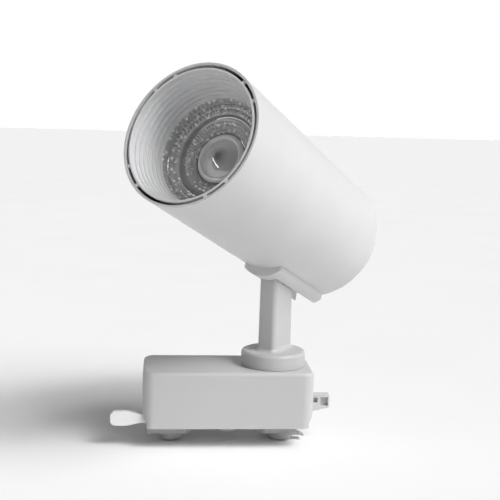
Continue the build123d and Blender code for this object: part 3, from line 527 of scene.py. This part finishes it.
def make_floor():
    """Plain pale floor, matt, with hardly any variation of tone."""
    mesh = bpy.data.meshes.new("floor")
    bm = bmesh.new()
    bmesh.ops.create_grid(bm, x_segments=1, y_segments=1, size=FLOOR_HALF)
    bm.to_mesh(mesh)
    bm.free()
    floor = bpy.data.objects.new("floor", mesh)
    floor.location.z = FLOOR_Z - FLOOR_GAP
    bpy.context.collection.objects.link(floor)
    s = Shader("pale_floor")
    s.set(Base_Color=s.ramp(s.noise(9.0, 3.0), (0.3, grey(0.93)), (0.7, grey(0.95))))
    s.set(Roughness=0.9, Specular_IOR_Level=0.1)
    mesh.materials.append(s.material)


def make_sun(name, toward, strength, spread):
    """A very large, distant soft box, shining from the direction 'toward'."""
    data = bpy.data.lights.new(name, "SUN")
    data.energy = strength
    data.angle = math.radians(spread)
    sun = bpy.data.objects.new(name, data)
    sun.rotation_mode = "QUATERNION"
    sun.rotation_quaternion = Vector(toward).to_track_quat("Z", "Y")
    bpy.context.collection.objects.link(sun)


def make_panel(name, middle, along, long, wide, power):
    """A flat panel light that faces the lamp's lens, its long side in the direction 'along'."""
    data = bpy.data.lights.new(name, "AREA")
    data.shape = "RECTANGLE"
    data.size, data.size_y = long, wide
    data.energy = power
    panel = bpy.data.objects.new(name, data)
    back = (Vector(middle) - EMITTER).normalized()
    side = (Vector(along) - Vector(along).dot(back) * back).normalized()
    turn = Matrix((side, back.cross(side), back)).transposed()
    panel.matrix_world = Matrix.Translation(middle) @ turn.to_4x4()
    bpy.context.collection.objects.link(panel)


def wall_ramp(tree, value, *stops):
    """A grey ramp in the world's nodes."""
    ramp = tree.nodes.new("ShaderNodeValToRGB")
    for element, (position, level) in zip(ramp.color_ramp.elements, stops):
        element.position = position
        element.color = (*grey(level), 1.0)
    tree.links.new(value, ramp.inputs["Fac"])
    return ramp.outputs["Color"]


def make_world():
    """Studio walls: white near the horizon, darker overhead and in front on the left."""
    world = bpy.data.worlds.new("studio")
    world.use_nodes = True
    tree = world.node_tree
    direction = tree.nodes.new("ShaderNodeTexCoord").outputs["Generated"]
    height = tree.nodes.new("ShaderNodeSeparateXYZ")
    tree.links.new(direction, height.inputs[0])
    leftness = tree.nodes.new("ShaderNodeVectorMath")
    leftness.operation = "DOT_PRODUCT"
    leftness.inputs[1].default_value = DIM_SIDE
    tree.links.new(direction, leftness.inputs[0])
    overhead = wall_ramp(tree, height.outputs["Z"], (0.16, 1.0), (0.42, 0.2))
    left = wall_ramp(tree, leftness.outputs["Value"], (0.0, 1.0), (0.7, 0.16))
    both = tree.nodes.new("ShaderNodeMix")
    both.data_type = "RGBA"
    both.blend_type = "MULTIPLY"
    both.inputs[0].default_value = 1.0
    tree.links.new(overhead, both.inputs[6])
    tree.links.new(left, both.inputs[7])
    tree.links.new(both.outputs[2], tree.nodes["Background"].inputs["Color"])
    bpy.context.scene.world = world


CAMERA_PLACE = Vector((-0.029524, -0.427208, 0.130057))
CAMERA_YAW = math.radians(-5.1548)
CAMERA_PITCH = math.radians(-7.0359)
CAMERA_ROLL = math.radians(1.5130)
CAMERA_LENS = 69.559        # mm on a 36 mm sensor


def make_camera():
    """Camera level with the lamp, looking a little down and to the right."""
    flat = math.cos(CAMERA_PITCH)
    forward = Vector((-math.sin(CAMERA_YAW) * flat, math.cos(CAMERA_YAW) * flat, math.sin(CAMERA_PITCH)))
    level = Vector((math.cos(CAMERA_YAW), math.sin(CAMERA_YAW), 0.0))
    above = level.cross(forward)
    right = level * math.cos(CAMERA_ROLL) + above * math.sin(CAMERA_ROLL)
    up = above * math.cos(CAMERA_ROLL) - level * math.sin(CAMERA_ROLL)
    data = bpy.data.cameras.new("camera")
    data.sensor_width = 36.0
    data.lens = CAMERA_LENS
    data.clip_start = 0.01
    camera = bpy.data.objects.new("camera", data)
    turn = Matrix((right, up, -forward)).transposed()
    camera.matrix_world = Matrix.Translation(CAMERA_PLACE) @ turn.to_4x4()
    bpy.context.collection.objects.link(camera)
    bpy.context.scene.camera = camera


bpy.context.scene.view_settings.view_transform = "Standard"
make_floor()
make_sun("key", KEY_FROM, 2.6, 40)
make_sun("sparkle", KEY_FROM, 0.7, 12)
make_panel("strip", EMITTER + STRIP_OFFSET, STRIP_ALONG, 0.75, 0.05, 0.6)
make_world()
make_camera()
